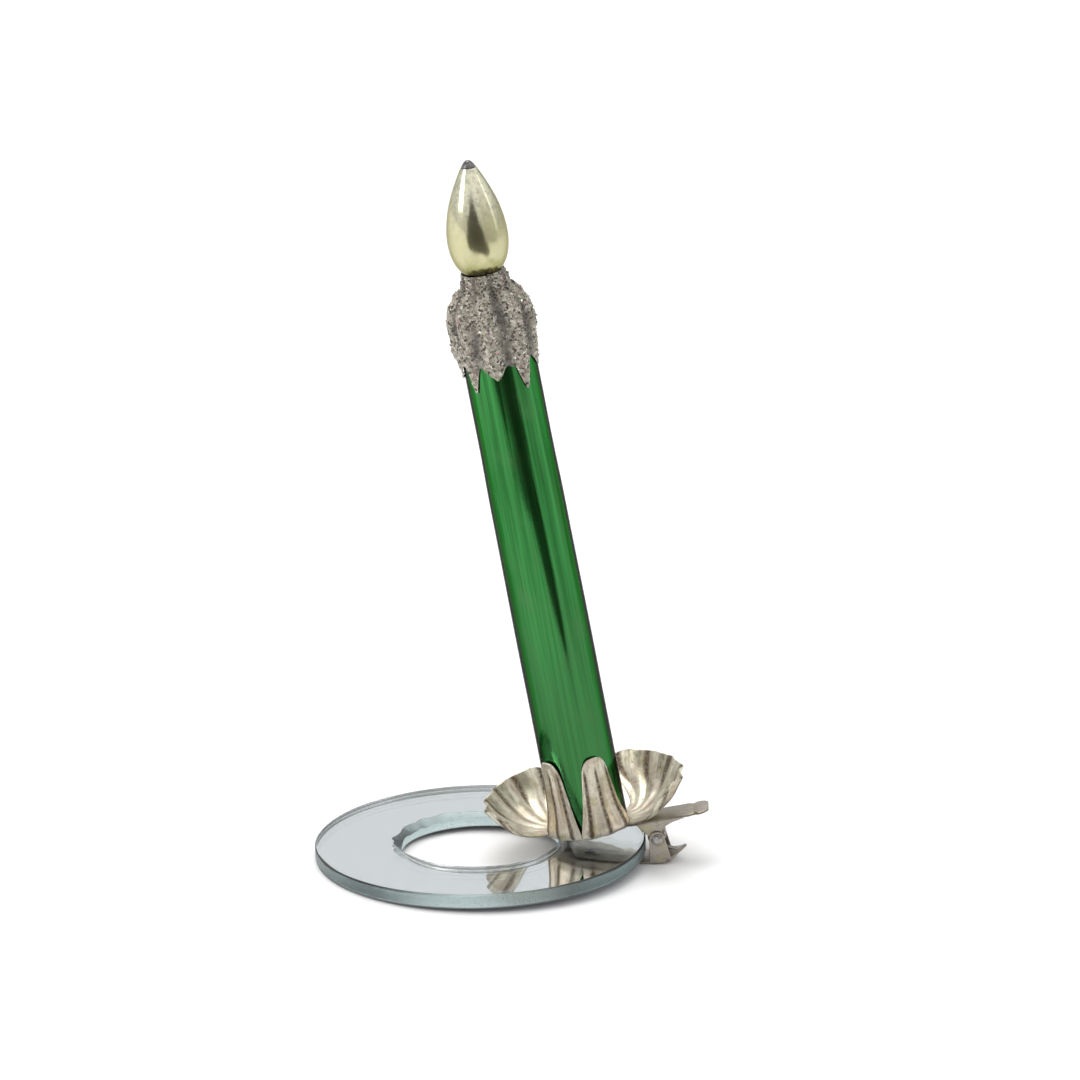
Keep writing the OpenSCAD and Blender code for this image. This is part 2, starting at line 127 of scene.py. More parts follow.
class Shape:
    """Points in millimetres, faces, and named values per point."""

    def __init__(self):
        self.points, self.faces, self.marks = [], [], {}

    def add(self, points, faces, **marks):
        first = len(self.points)
        self.points.extend([tuple(p) for p in points])
        self.faces.extend([[first + k for k in f] for f in faces])
        for key in set(self.marks) | set(marks):
            values = self.marks.setdefault(key, [])
            values.extend([0.0] * (first - len(values)))
            values.extend(marks.get(key, [0.0] * len(points)))
        return self

    def piece(self, name, place, body, node, slot, materials, face_material=None, crease=38, ride=True):
        """Makes the object, smooth but for edges sharper than crease degrees."""
        mesh = bpy.data.meshes.new(name)
        mesh.from_pydata(self.points, [], self.faces)
        mesh.update()
        lay = mesh.attributes.new("lay", "FLOAT_VECTOR", "POINT")
        lay.data.foreach_set("vector", np.array(self.points, np.float32).ravel())
        for key, values in self.marks.items():
            mark = mesh.attributes.new(key, "FLOAT", "POINT")
            mark.data.foreach_set("value", np.array(values, np.float32))
        for material in materials:
            mesh.materials.append(material)
        if face_material:
            for poly in mesh.polygons:
                poly.material_index = face_material(poly)
        mesh.transform(place @ Matrix.Scale(MM, 4))
        mesh.shade_smooth()
        mesh.set_sharp_from_angle(angle=math.radians(crease))
        obj = bpy.data.objects.new(name, mesh)
        bpy.context.scene.collection.objects.link(obj)
        if ride:
            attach(obj, body)
        if node:
            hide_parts(node)
        return obj


def lathe(profile, turns):
    """A ring-shaped solid from a closed profile of (radius, height), run counter-clockwise."""
    angles = [TAU * k / turns for k in range(turns)]
    points = [(r * math.cos(a), r * math.sin(a), z) for r, z in profile for a in angles]
    return points, grid_faces(len(profile), turns, wrap_rows=True)


def spindle(profile, turns):
    """A solid from a profile of (radius, height) that starts and ends on the axis, run upwards."""
    angles = [TAU * k / turns for k in range(turns)]
    inner = profile[1:-1]
    points = [(r * math.cos(a), r * math.sin(a), z) for r, z in inner for a in angles]
    faces = grid_faces(len(inner), turns)
    bottom, top = len(points), len(points) + 1
    points += [(0, 0, profile[0][1]), (0, 0, profile[-1][1])]
    faces += fan_faces(list(range(turns)), bottom, flip=True)
    faces += fan_faces(list(range((len(inner) - 1) * turns, len(inner) * turns)), top)
    return points, faces


def rounded(corners, radius, steps=4, closed=True, hold=0.05):
    """A polygon with its corners rounded. The points at hold from each arc keep its flat sides flat."""
    out = []
    n = len(corners)
    for i, p in enumerate(corners):
        p = np.array(p, float)
        if not closed and i in (0, n - 1):
            out.append(tuple(p))
            continue
        a = np.array(corners[i - 1], float) - p
        b = np.array(corners[(i + 1) % n], float) - p
        la, lb = np.linalg.norm(a), np.linalg.norm(b)
        cut = min(radius, 0.45 * la, 0.45 * lb)
        start, end = p + a / la * cut, p + b / lb * cut
        out.append(tuple(start + a / la * min(hold, 0.04 * la)))
        for k in range(steps + 1):
            f = k / steps
            out.append(tuple((1 - f) ** 2 * start + 2 * f * (1 - f) * p + f * f * end))
        out.append(tuple(end + b / lb * min(hold, 0.04 * lb)))
    return out


def bezier(a, b, c, d, count):
    """count points from a towards d, without d."""
    a, b, c, d = (np.array(v, float) for v in (a, b, c, d))
    t = np.arange(count)[:, None] / count
    return (1 - t) ** 3 * a + 3 * (1 - t) ** 2 * t * b + 3 * (1 - t) * t * t * c + t ** 3 * d


def spline(points, t):
    """Catmull-Rom curve through the points, at t from 0 to 1."""
    n = len(points) - 1
    i = min(int(t * n), n - 1)
    f = t * n - i
    p0, p1, p2, p3 = (np.array(points[min(max(k, 0), n)], float) for k in (i - 1, i, i + 1, i + 2))
    square = 2 * p0 - 5 * p1 + 4 * p2 - p3
    cube = 3 * p1 - p0 - 3 * p2 + p3
    return 0.5 * (2 * p1 + (p2 - p0) * f + square * f * f + cube * f ** 3)


def smooth(low, high, x):
    t = min(max((x - low) / (high - low), 0.0), 1.0)
    return t * t * (3 - 2 * t)


def unit(v):
    return v / np.linalg.norm(v)


def rough(x, y, z, scale, offset=0.0):
    """Smooth noise from -1 to 1."""
    return noise.noise(Vector((x * scale + offset, y * scale - offset, z * scale + 0.37 * offset)))


# ---------------------------------------------------------------- material helpers


def add_node(tree, kind, sockets=None, **settings):
    """A new node, with each of its sockets linked to another node's socket or set to a value."""
    made = tree.nodes.new(kind)
    for key, value in settings.items():
        setattr(made, key, value)
    for key, value in (sockets or {}).items():
        if isinstance(value, bpy.types.NodeSocket):
            tree.links.new(value, made.inputs[key])
        else:
            made.inputs[key].default_value = value
    return made


class Look:
    """A node material with short calls for its nodes."""

    def __init__(self, name):
        self.material = bpy.data.materials.new(name)
        self.material.use_nodes = True
        self.tree = self.material.node_tree
        self.tree.nodes.clear()
        self.out = self.tree.nodes.new("ShaderNodeOutputMaterial")
        self.lay = self.mark("lay", vector=True)

    def node(self, kind, sockets=None, **settings):
        return add_node(self.tree, kind, sockets, **settings)

    def mark(self, name, vector=False):
        made = self.node("ShaderNodeAttribute", attribute_name=name)
        return made.outputs["Vector" if vector else "Fac"]

    def stretch(self, x, y, z):
        return self.node(
            "ShaderNodeVectorMath", {0: self.lay, 1: (x, y, z)}, operation="MULTIPLY"
        ).outputs["Vector"]

    def noise(self, scale, detail=3.0, rough=0.55, at=None):
        return self.node(
            "ShaderNodeTexNoise",
            {"Vector": at or self.lay, "Scale": scale, "Detail": detail, "Roughness": rough},
        ).outputs["Fac"]

    def cells(self, scale, output="Distance"):
        return self.node("ShaderNodeTexVoronoi", {"Vector": self.lay, "Scale": scale}).outputs[output]

    def math(self, operation, a, b):
        return self.node("ShaderNodeMath", {0: a, 1: b}, operation=operation).outputs["Value"]

    def span(self, value, low, high, to_low=0.0, to_high=1.0):
        """Maps low..high smoothly onto to_low..to_high."""
        return self.node(
            "ShaderNodeMapRange",
            {"Value": value, "From Min": low, "From Max": high, "To Min": to_low, "To Max": to_high},
            interpolation_type="SMOOTHSTEP",
        ).outputs["Result"]

    def blend(self, factor, a, b):
        made = self.node("ShaderNodeMix", data_type="RGBA")
        for index, value in ((0, factor), (6, a), (7, b)):
            if isinstance(value, bpy.types.NodeSocket):
                self.tree.links.new(value, made.inputs[index])
            else:
                made.inputs[index].default_value = (*value, 1.0) if index else value
        return made.outputs[2]

    def bump(self, height, depth, strength=1.0, normal=None):
        """depth is the height of the relief in millimetres."""
        sockets = {"Height": height, "Distance": depth * MM, "Strength": strength}
        if normal:
            sockets["Normal"] = normal
        return self.node("ShaderNodeBump", sockets).outputs["Normal"]

    def principled(self, **sockets):
        names = {key.replace("_", " "): value for key, value in sockets.items()}
        for key, value in names.items():
            if isinstance(value, tuple) and len(value) == 3:
                names[key] = (*value, 1.0)
        shader = self.node("ShaderNodeBsdfPrincipled", names)
        self.tree.links.new(shader.outputs["BSDF"], self.out.inputs["Surface"])

    def height(self):
        split = self.node("ShaderNodeSeparateXYZ", {"Vector": self.lay})
        return split.outputs["Z"]


def tint_within(look):
    """Absorption per metre, which gives the glass its green cast where the light runs far through it."""
    tint = look.node("ShaderNodeVolumeAbsorption", {"Color": (0.5, 0.7, 0.69, 1.0), "Density": 30.0})
    look.tree.links.new(tint.outputs["Volume"], look.out.inputs["Volume"])


def glass_look(name, roughness):
    """Clear float glass, polished, with faint smears."""
    look = Look(name)
    smears = look.noise(0.35, 4)
    look.principled(
        Base_Color=(1.0, 1.0, 1.0),
        Transmission_Weight=1.0,
        IOR=1.52,
        Roughness=look.span(smears, 0.35, 0.75, roughness, roughness + 0.02),
    )
    tint_within(look)
    return look.material


def ground_edge_look():
    """The seamed edges of the glass: sanded, so they scatter."""
    look = Look("ground_glass_edge")
    grind = look.noise(9.0, 5, 0.7)
    look.principled(
        Base_Color=look.blend(look.span(grind, 0.3, 0.7), (0.6, 0.7, 0.7), (0.88, 0.95, 0.94)),
        Transmission_Weight=1.0,
        IOR=1.52,
        Roughness=look.span(grind, 0.3, 0.7, 0.22, 0.5),
        Normal=look.bump(grind, 0.03, 0.6),
    )
    tint_within(look)
    return look.material


def silver_look():
    """Silvering, specked with age."""
    look = Look("mirror_silver")
    specks = look.cells(0.9)
    cloud = look.noise(0.12, 4, 0.6)
    ageing = look.math("MULTIPLY", look.span(specks, 0.0, 0.16, 1.0, 0.0), look.span(cloud, 0.5, 0.7))
    look.principled(
        Base_Color=look.blend(ageing, (0.91, 0.925, 0.935), (0.42, 0.42, 0.4)),
        Metallic=1.0,
        Roughness=look.span(cloud, 0.3, 0.8, 0.03, 0.07),
    )
    return look.material


def backing_paint_look():
    """Grey paint, brushed on, with small chips."""
    look = Look("backing_paint")
    brush = look.noise(1.2, 5, 0.6, at=look.stretch(1.0, 0.12, 1.0))
    chips = look.cells(0.55)
    paint = look.blend(brush, (0.16, 0.17, 0.18), (0.25, 0.26, 0.27))
    look.principled(
        Base_Color=look.blend(look.span(chips, 0.02, 0.1), (0.32, 0.3, 0.28), paint),
        Roughness=look.span(brush, 0.3, 0.7, 0.45, 0.7),
        Normal=look.bump(brush, 0.04, 0.7),
    )
    return look.material


def lacquered_glass_look(name, base, edge_tint, streaks, sparkle_scale, roughness, gloss):
    """Silvered glass under coloured lacquer: a tinted mirror behind a clear gloss of weight gloss."""
    look = Look(name)
    drawn = look.noise(1.0, 4, 0.6, at=look.stretch(1.1, 1.1, 0.02))
    grain = look.noise(sparkle_scale, 2, 0.5)
    look.principled(
        Base_Color=base(look, drawn),
        Metallic=1.0,
        Roughness=look.span(drawn, 0.3, 0.75, roughness, roughness * 1.9),
        Specular_Tint=edge_tint,
        Coat_Weight=gloss,
        Coat_Roughness=0.04,
        Coat_IOR=1.45,
        Normal=look.bump(grain, 0.01, 0.25, look.bump(drawn, streaks, 0.8)),
    )
    return look.material


def green_base(look, drawn):
    """Streaked along the tube, browner in places, deeper towards its sides."""
    streak = look.span(drawn, 0.34, 0.66)
    cloud = look.noise(0.16, 3, 0.5)
    green = look.blend(streak, (0.018, 0.13, 0.026), (0.045, 0.25, 0.062))
    thin = look.noise(1.0, 5, 0.7, at=look.stretch(2.6, 2.6, 0.035))
    green = look.blend(look.span(thin, 0.54, 0.7, 0.0, 0.7), green, (0.075, 0.12, 0.05))
    green = look.blend(look.span(cloud, 0.45, 0.8, 0.0, 0.5), green, (0.07, 0.19, 0.065))
    green = look.blend(look.span(look.height(), 12.0, 55.0, 0.6, 0.0), green, (0.034, 0.12, 0.038))
    facing = look.node("ShaderNodeLayerWeight", {"Blend": 0.5}).outputs["Facing"]
    return look.blend(look.span(facing, 0.45, 0.98, 0.0, 0.65), green, (0.016, 0.08, 0.024))


def gold_base(look, _drawn):
    """Pale gold, olive at the foot, with grey mottling where the gilding has thinned."""
    z = look.height()
    ragged_z = look.math("ADD", z, look.span(look.noise(0.5, 3), 0.3, 0.7, -0.8, 0.8))
    band = look.span(ragged_z, 0.6, 4.2, 1.0, 0.0)
    gold = look.blend(look.span(z, 7.0, 15.0), (0.56, 0.53, 0.31), (0.86, 0.83, 0.62))
    gold = look.blend(band, gold, (0.31, 0.3, 0.1))
    # Painted shade: the foot of the flame, where it meets the crust, is darkened to brown.
    brown = look.span(z, 0.2, 1.9, 0.85, 0.0)
    gold = look.blend(brown, gold, (0.1, 0.085, 0.03))
    mottle = look.span(look.noise(1.1, 6, 0.7), 0.46, 0.6)
    mottle = look.math("MULTIPLY", mottle, look.span(z, 4.0, 13.0, 0.25, 0.75))
    gold = look.blend(look.math("MULTIPLY", mottle, 0.7), gold, (0.38, 0.37, 0.29))
    facing = look.node("ShaderNodeLayerWeight", {"Blend": 0.5}).outputs["Facing"]
    return look.blend(look.span(facing, 0.3, 0.92, 0.0, 0.75), gold, (0.34, 0.32, 0.14))


def dark_glass_look():
    """Bare glass, darkened by the flame that sealed it."""
    look = Look("sealed_dark_glass")
    cloud = look.noise(1.4, 4, 0.6)
    look.principled(
        Base_Color=look.blend(look.span(cloud, 0.35, 0.7), (0.035, 0.035, 0.04), (0.16, 0.15, 0.14)),
        Metallic=0.35,
        Roughness=look.span(cloud, 0.3, 0.7, 0.15, 0.35),
        Coat_Weight=1.0,
        Coat_Roughness=0.05,
        Normal=look.bump(cloud, 0.05, 0.5),
    )
    return look.material


def tinplate_look(name, light, warm, dark, fan_light, marks_scale):
    """Stamped tinplate: bright on its crowns, brown in its creases (painted shade, with grime spots),
    streaked along the petals.
    """
    look = Look(name)
    crown, rim, fan = look.mark("crown"), look.mark("rim"), look.mark("fan")
    cloud = look.noise(0.32, 5, 0.62)
    fine = look.noise(2.6, 5, 0.65)
    scratch = look.noise(marks_scale, 3, 0.6, at=look.stretch(0.25, 1.0, 0.6))
    flow = look.node("ShaderNodeCombineXYZ", {"X": look.mark("across"), "Y": look.math("MULTIPLY", rim, 1.3)})
    streak = look.noise(2.2, 5, 0.7, at=flow.outputs["Vector"])
    pale = look.blend(fan, light, fan_light)
    tin = look.blend(look.span(cloud, 0.36, 0.64), pale, warm)
    yellowed = look.span(look.noise(0.5, 3), 0.52, 0.72)
    tin = look.blend(look.math("MULTIPLY", yellowed, 0.7), tin, (0.42, 0.39, 0.2))
    tin = look.blend(look.span(streak, 0.5, 0.68, 0.0, 0.7), tin, tuple(0.42 * c for c in warm))
    tin = look.blend(look.span(streak, 0.42, 0.3, 0.0, 0.7), tin, (0.86, 0.82, 0.74))
    # Painted shade: the creases between the flutes are darkened, and grime spots are added to the same mask.
    crease_shade_and_grime = look.math("MULTIPLY", look.span(crown, 0.4, 0.0), look.span(fine, 0.3, 0.6, 0.55, 1.0))
    spots = look.span(look.noise(1.3, 5, 0.7), 0.58, 0.72)
    crease_shade_and_grime = look.math("MAXIMUM", crease_shade_and_grime, look.math("MULTIPLY", spots, 0.65))
    tin = look.blend(crease_shade_and_grime, tin, dark)
    relief = look.bump(fine, 0.035, 0.55, look.bump(scratch, 0.02, 0.5, look.bump(streak, 0.09, 0.6)))
    look.principled(
        Base_Color=tin,
        Metallic=1.0,
        Roughness=look.math("ADD", look.span(fine, 0.3, 0.75, 0.38, 0.5), look.math("MULTIPLY", crease_shade_and_grime, 0.25)),
        Normal=relief,
    )
    return look.material


def steel_look(name, bright, brown, lines):
    """Drawn or turned steel with fine lines and a little rust."""
    look = Look(name)
    fine = look.noise(lines, 4, 0.6, at=look.stretch(1.0, 0.15, 1.0))
    rust = look.span(look.noise(1.1, 5, 0.68), 0.5, 0.68)
    look.principled(
        Base_Color=look.blend(rust, look.blend(fine, bright, tuple(0.7 * c for c in bright)), brown),
        Metallic=look.span(rust, 0.0, 1.0, 1.0, 0.45),
        Roughness=look.math("ADD", look.span(fine, 0.3, 0.7, 0.25, 0.38), look.math("MULTIPLY", rust, 0.25)),
        Normal=look.bump(fine, 0.015, 0.7),
    )
    return look.material


def crust_look():
    """Grey-beige lacquer loaded with fine glass grit."""
    look = Look("grit_lacquer")
    groove = look.mark("groove")
    grit = look.cells(2.2, output="Color")
    grit_value = look.node("ShaderNodeSeparateColor", {"Color": grit}).outputs["Red"]
    cloud = look.noise(0.45, 4, 0.6)
    base = look.blend(look.span(cloud, 0.35, 0.65), (0.28, 0.26, 0.2), (0.38, 0.345, 0.275))
    base = look.blend(look.span(grit_value, 0.6, 0.95), base, (0.6, 0.56, 0.5))
    base = look.blend(look.span(grit_value, 0.25, 0.08), base, (0.08, 0.07, 0.06))
    # Painted shade: the crust is darkened in the grooves between the drips.
    base = look.blend(look.span(groove, 0.3, 0.95, 0.0, 0.75), base, (0.08, 0.075, 0.065))
    look.principled(
        Base_Color=base,
        Metallic=0.25,
        Roughness=look.span(grit_value, 0.0, 1.0, 0.25, 0.6),
        Normal=look.bump(look.cells(2.2), 0.3, 0.9),
    )
    return look.material


def grain_look():
    """Crushed-glass grains: most grey or beige, some dark, white, pink or green."""
    look = Look("glitter_grain")
    pick = look.mark("pick")
    ramp = look.node("ShaderNodeValToRGB", {"Fac": pick})
    ramp.color_ramp.interpolation = "CONSTANT"
    tints = [
        (0.0, (0.035, 0.03, 0.028)),
        (0.18, (0.15, 0.13, 0.1)),
        (0.34, (0.27, 0.25, 0.19)),
        (0.5, (0.38, 0.33, 0.28)),
        (0.66, (0.3, 0.33, 0.24)),
        (0.76, (0.5, 0.47, 0.38)),
        (0.88, (0.55, 0.28, 0.32)),
        (0.93, (0.85, 0.84, 0.78)),
    ]
    while len(ramp.color_ramp.elements) < len(tints):
        ramp.color_ramp.elements.new(0.5)
    for element, (at, tint) in zip(ramp.color_ramp.elements, tints):
        element.position = at
        element.color = (*tint, 1.0)
    fine = look.noise(3.0, 3)
    # Painted shade: grains in the grooves between the drips are darkened.
    in_groove = look.span(look.mark("groove"), 0.3, 0.95, 0.0, 0.8)
    tint = look.blend(in_groove, ramp.outputs["Color"], (0.07, 0.06, 0.055))
    look.principled(
        Base_Color=look.blend(look.span(fine, 0.35, 0.7, 0.0, 0.35), tint, (0.2, 0.17, 0.14)),
        Metallic=look.span(pick, 0.6, 0.95, 0.2, 0.75),
        Roughness=look.span(fine, 0.3, 0.7, 0.12, 0.4),
    )
    return look.material


# ---------------------------------------------------------------- camera, lights and floor

camera_height = 19.0
camera_lens = 1000.0
camera_sensor = 36.0
frame_width = 177.66 * MM
look_at = Vector((4.64 * MM, 0, 55.5 * MM))

camera_data = bpy.data.cameras.new("camera")
camera_data.lens = camera_lens
camera_data.sensor_width = camera_sensor
camera = bpy.data.objects.new("camera", camera_data)
bpy.context.scene.collection.objects.link(camera)
toward_camera = Vector((0, -math.cos(math.radians(camera_height)), math.sin(math.radians(camera_height))))
camera.location = look_at + toward_camera * (frame_width * camera_lens / camera_sensor)
camera.rotation_euler = (math.radians(90 - camera_height), 0, 0)
bpy.context.scene.camera = camera
bpy.context.scene.view_settings.view_transform = "Standard"
bpy.context.scene.view_settings.look = "None"


def softbox(name, location, target, size, power, colour):
    data = bpy.data.lights.new(name, "AREA")
    data.shape = "RECTANGLE"
    data.size, data.size_y = size
    data.energy = power
    data.color = colour
    obj = bpy.data.objects.new(name, data)
    bpy.context.scene.collection.objects.link(obj)
    obj.location = location
    obj.rotation_euler = (Vector(target) - Vector(location)).to_track_quat("-Z", "Y").to_euler()


softbox("overhead", (-0.1, 0.25, 0.95), (0, 0, 0), (0.7, 0.5), 5.0, (1.0, 0.99, 0.97))
softbox("left_key", (-0.75, -0.35, 0.5), (0, 0, 0.05), (0.35, 0.6), 2.2, (1.0, 0.98, 0.95))
softbox("right_fill", (0.8, -0.2, 0.35), (0, 0, 0.05), (0.3, 0.5), 0.5, (0.95, 0.98, 1.0))


def stage_mesh(name, points, faces, material):
    mesh = bpy.data.meshes.new(name)
    mesh.from_pydata(points, [], faces)
    mesh.materials.append(material)
    obj = bpy.data.objects.new(name, mesh)
    bpy.context.scene.collection.objects.link(obj)
    return obj


def floor_look():
    look = Look("pale_floor")
    where = look.node("ShaderNodeTexCoord").outputs["Object"]
    cloud = look.noise(3.0, 4, 0.5, at=where)
    look.principled(
        Base_Color=look.blend(cloud, (0.86, 0.86, 0.87), (0.9, 0.9, 0.9)),
        Roughness=0.7,
        Specular_IOR_Level=0.2,
    )
    return look.material


def card_look(name, dark, light):
    look = Look(name)
    where = look.node("ShaderNodeTexCoord").outputs["Object"]
    look.principled(
        Base_Color=look.blend(look.noise(2.0, 3, 0.5, at=where), dark, light),
        Roughness=0.9,
        Specular_IOR_Level=0.0,
    )
    return look.material


floor_half = 12.0
stage_mesh(
    "floor",
    [(-floor_half, -floor_half, 0), (floor_half, -floor_half, 0), (floor_half, floor_half, 0),
     (-floor_half, floor_half, 0)],
    [[0, 1, 2, 3]],
    floor_look(),
)

# Stand-ins for a dark room in front of the table, seen only in reflections. Their outlines were found by
# trial, so that the dark areas on the tube and the flame fall as they do in the photograph.
room_lift = 0.3 * MM
room_edge = [
    (-0.5, -0.64), (0.42, -0.64), (0.235, -0.29), (0.185, -0.185), (0.122, -0.146), (0.092, -0.134),
    (0.076, -0.16), (0.058, -0.186), (0.02, -0.198), (-0.054, -0.19), (-0.14, -0.205),
]
room_back_y = -0.62
room_back = [
    (-0.45, 0), (0.45, 0), (0.38, 0.11), (0.12, 0.22), (0.07, 0.34), (-0.04, 0.42), (-0.2, 0.4),
    (-0.28, 0.24), (-0.42, 0.12),
]
room_look = card_look("dark_room", (0.045, 0.05, 0.045), (0.15, 0.14, 0.13))
dark_floor = stage_mesh(
    "dark_room_floor",
    [(x, y, room_lift) for x, y in room_edge],
    [list(range(len(room_edge)))],
    room_look,
)
dark_back = stage_mesh(
    "dark_room_back",
    [(x, room_back_y, z) for x, z in room_back],
    [list(range(len(room_back)))],
    room_look,
)
side_card = stage_mesh(
    "dark_room_side",
    [(0.3, -0.55, 0), (0.62, -0.1, 0), (0.62, -0.1, 0.5), (0.3, -0.55, 0.45)],
    [[0, 1, 2, 3]],
    card_look("grey_card", (0.4, 0.4, 0.38), (0.62, 0.62, 0.6)),
)
for unseen in (dark_floor, dark_back, side_card):
    unseen.visible_camera = False
    unseen.visible_diffuse = False
    unseen.visible_shadow = False
    unseen.visible_transmission = False

world = bpy.data.worlds.new("studio")
bpy.context.scene.world = world
world.use_nodes = True
sky = world.node_tree
sky.nodes.clear()
direction = add_node(sky, "ShaderNodeTexCoord").outputs["Generated"]
upward = add_node(sky, "ShaderNodeSeparateXYZ", {"Vector": direction}).outputs["Z"]
rise = add_node(sky, "ShaderNodeMapRange", {"Value": upward, "From Min": 0.0, "From Max": 0.9})
horizon, zenith = (0.72, 0.74, 0.76, 1.0), (1.0, 1.0, 1.0, 1.0)
shade = add_node(sky, "ShaderNodeMix", {0: rise.outputs["Result"], 6: horizon, 7: zenith}, data_type="RGBA")
background = add_node(sky, "ShaderNodeBackground", {"Color": shade.outputs[2], "Strength": 0.95})
add_node(sky, "ShaderNodeOutputWorld", {"Surface": background.outputs["Background"]})

# ---------------------------------------------------------------- ring

ring_r = half_width("ring_glass")
seat_r = half_width("mirror_backing")
hole_r = 13.0
arris = 0.25
ring_turns = 256


def ring_profile(angle):
    """The glass's section at an angle. The rim of the hole is nipped, so its bevel is uneven."""
    c, s = math.cos(angle), math.sin(angle)
    nipped = max(0.0, rough(c, s, 0, 4.0, 3.1)) + 0.5 * max(0.0, rough(c, s, 0, 16.0, 7.7))
    inner = arris * (0.8 + 0.9 * nipped)
    chip = 0.8 + 0.4 * rough(c, s, 0, 5.0, 2.2) + 0.2 * rough(c, s, 0, 14.0, 4.4)
    chip *= smooth(0.25, 0.85, 0.6 * s - 0.8 * c)
    outer = arris * (0.9 + 0.35 * rough(c, s, 0, 5.0, 1.3))
    corners = [
        (hole_r + arris, backing_t),
        (ring_r - arris, backing_t),
        (ring_r, backing_t + arris),
        (ring_r, ring_top - outer),
        (ring_r - outer, ring_top),
        (hole_r + inner + 1.3 * chip, ring_top),
        (hole_r, ring_top - inner - 0.9 * chip),
        (hole_r, backing_t + arris),
    ]
    return rounded(corners, 0.06, 2)


sections = [ring_profile(TAU * k / ring_turns) for k in range(ring_turns)]
points = [
    (r * math.cos(TAU * k / ring_turns), r * math.sin(TAU * k / ring_turns), z)
    for corner in zip(*sections)
    for k, (r, z) in enumerate(corner)
]
ring_shape = Shape().add(points, grid_faces(len(sections[0]), ring_turns, wrap_rows=True))


def ring_face_material(poly):
    """Flat top and underside are polished; the walls and bevels are ground."""
    return 0 if abs(poly.normal.z) > 0.95 else 1


ring_shape.piece(
    "ring_mirror_glass", ON_RING, "ring", "ring_glass", "mirror_glass",
    [glass_look("polished_ring_glass", 0.0), ground_edge_look()], ring_face_material, crease=25,
)

film_gap = 0.01
backing_inner = hole_r + arris + 0.15
backing_high = backing_t - film_gap
backing_corners = rounded(
    [(backing_inner, 0), (seat_r, 0), (seat_r, backing_high), (backing_inner, backing_high)], 0.02, 1
)
Shape().add(*lathe(backing_corners, ring_turns)).piece(
    "ring_silvering", ON_RING, "ring", "mirror_backing", "silvering",
    [silver_look(), backing_paint_look()], lambda poly: 0 if poly.normal.z > 0.9 else 1,
)

# ---------------------------------------------------------------- clip

lever_tin = tinplate_look(
    "lever_tinplate", (0.42, 0.385, 0.34), (0.35, 0.31, 0.265), (0.1, 0.075, 0.055), (0.42, 0.385, 0.34), 3.0
)
upper_t = 0.45
lower_t = 0.4
ear_in = 2.5
ear_t = 0.35
lower_ear_in = ear_in + ear_t + 0.15
lower_half = lower_ear_in + ear_t
upper_half = ear_in + ear_t
ear_r = 1.3
pin_r = 0.55
touch_gap = 0.02


def bent_strip(path, thick, width_at):
    """Sheet bent along a path in X and Z, with rolled edges; width_at gives its half width along X."""
    path = np.array(path)
    ahead = np.gradient(path, axis=0)
    ahead /= np.linalg.norm(ahead, axis=1)[:, None]
    up = np.stack([-ahead[:, 1], ahead[:, 0]], axis=1)
    corner = 0.42 * thick
    section = []
    for sy, sz, start in ((-1, -1, 180), (1, -1, 270), (1, 1, 0), (-1, 1, 90)):
        bend = []
        for k in range(4):
            a = math.radians(start + 30 * k)
            bend.append((sy, corner * (math.cos(a) - sy), sz * (thick / 2 - corner) + corner * math.sin(a)))
        flat = (sy, -sy * (corner + 0.08), sz * thick / 2)
        section += [flat, *bend] if sy == sz else [*bend, flat]
    points, crowns = [], []
    last = len(path) - 1
    for i in range(len(path)):
        w = width_at(path[i][0])
        squeeze = 0.35 if i in (0, last) else 0.8 if i in (1, last - 1) else 1.0
        for sy, dy, dz in section:
            y = sy * w + dy * squeeze
            x, z = path[i] + up[i] * dz * squeeze
            points.append((x, y, z))
            crowns.append(1.0 if dz > 0 else 0.61)
    faces = grid_faces(len(path), len(section))
    count = len(section)
    centre_a, centre_b = len(points), len(points) + 1
    points += [(x, 0, z) for x, z in (path[0], path[last])]
    crowns += [1.0, 1.0]
    faces += fan_faces(list(range(count)), centre_a, flip=True)
    faces += fan_faces(list(range(last * count, (last + 1) * count)), centre_b)
    return points, faces, crowns


def ear_plate(outline, centre, hole, y_low, y_high):
    """A flat ear with softened edges and a pin hole, from its outline in X and Z."""
    bevel = 0.06
    outer = np.array(rounded(outline, 0.25, 3, hold=0.1))
    area = np.sum(outer[:, 0] * np.roll(outer[:, 1], -1) - outer[:, 1] * np.roll(outer[:, 0], -1))
    if area < 0:
        outer = outer[::-1]
    along = np.roll(outer, -1, axis=0) - np.roll(outer, 1, axis=0)
    along /= np.linalg.norm(along, axis=1)[:, None]
    inset = outer + bevel * np.stack([-along[:, 1], along[:, 0]], axis=1)
    turns = [TAU * k / 40 for k in range(40)]
    around = np.array([(math.cos(a), math.sin(a)) for a in turns])
    points, faces = [], []
    walls = ((outer, inset, False), (centre + hole * around, centre + (hole + bevel) * around, True))
    rims = []
    for full, eased, inward in walls:
        first, count = len(points), len(full)
        for ring, y in ((eased, y_low), (full, y_low + bevel), (full, y_high - bevel), (eased, y_high)):
            points += [(x, y, z) for x, z in ring]
        wall = grid_faces(4, count, first=first)
        faces += wall if inward else [f[::-1] for f in wall]
        rims.append((first, count, eased))
    for level in (0, 3):
        flat = [[Vector((x, z, 0)) for x, z in eased] for _, _, eased in rims]
        index = [first + level * count + k for first, count, _ in rims for k in range(count)]
        for triangle in tessellate_polygon(flat):
            face = [index[k] for k in triangle]
            a, b, c = (np.array(points[k]) for k in face)
            if (np.cross(b - a, c - a)[1] > 0) != (level == 3):
                face = face[::-1]
            faces.append(face)
    return points, faces


def arc(centre, radius, start, end, steps):
    angles = [math.radians(start + (end - start) * k / steps) for k in range(steps + 1)]
    return [(centre[0] + radius * math.cos(a), centre[1] + radius * math.sin(a)) for a in angles]


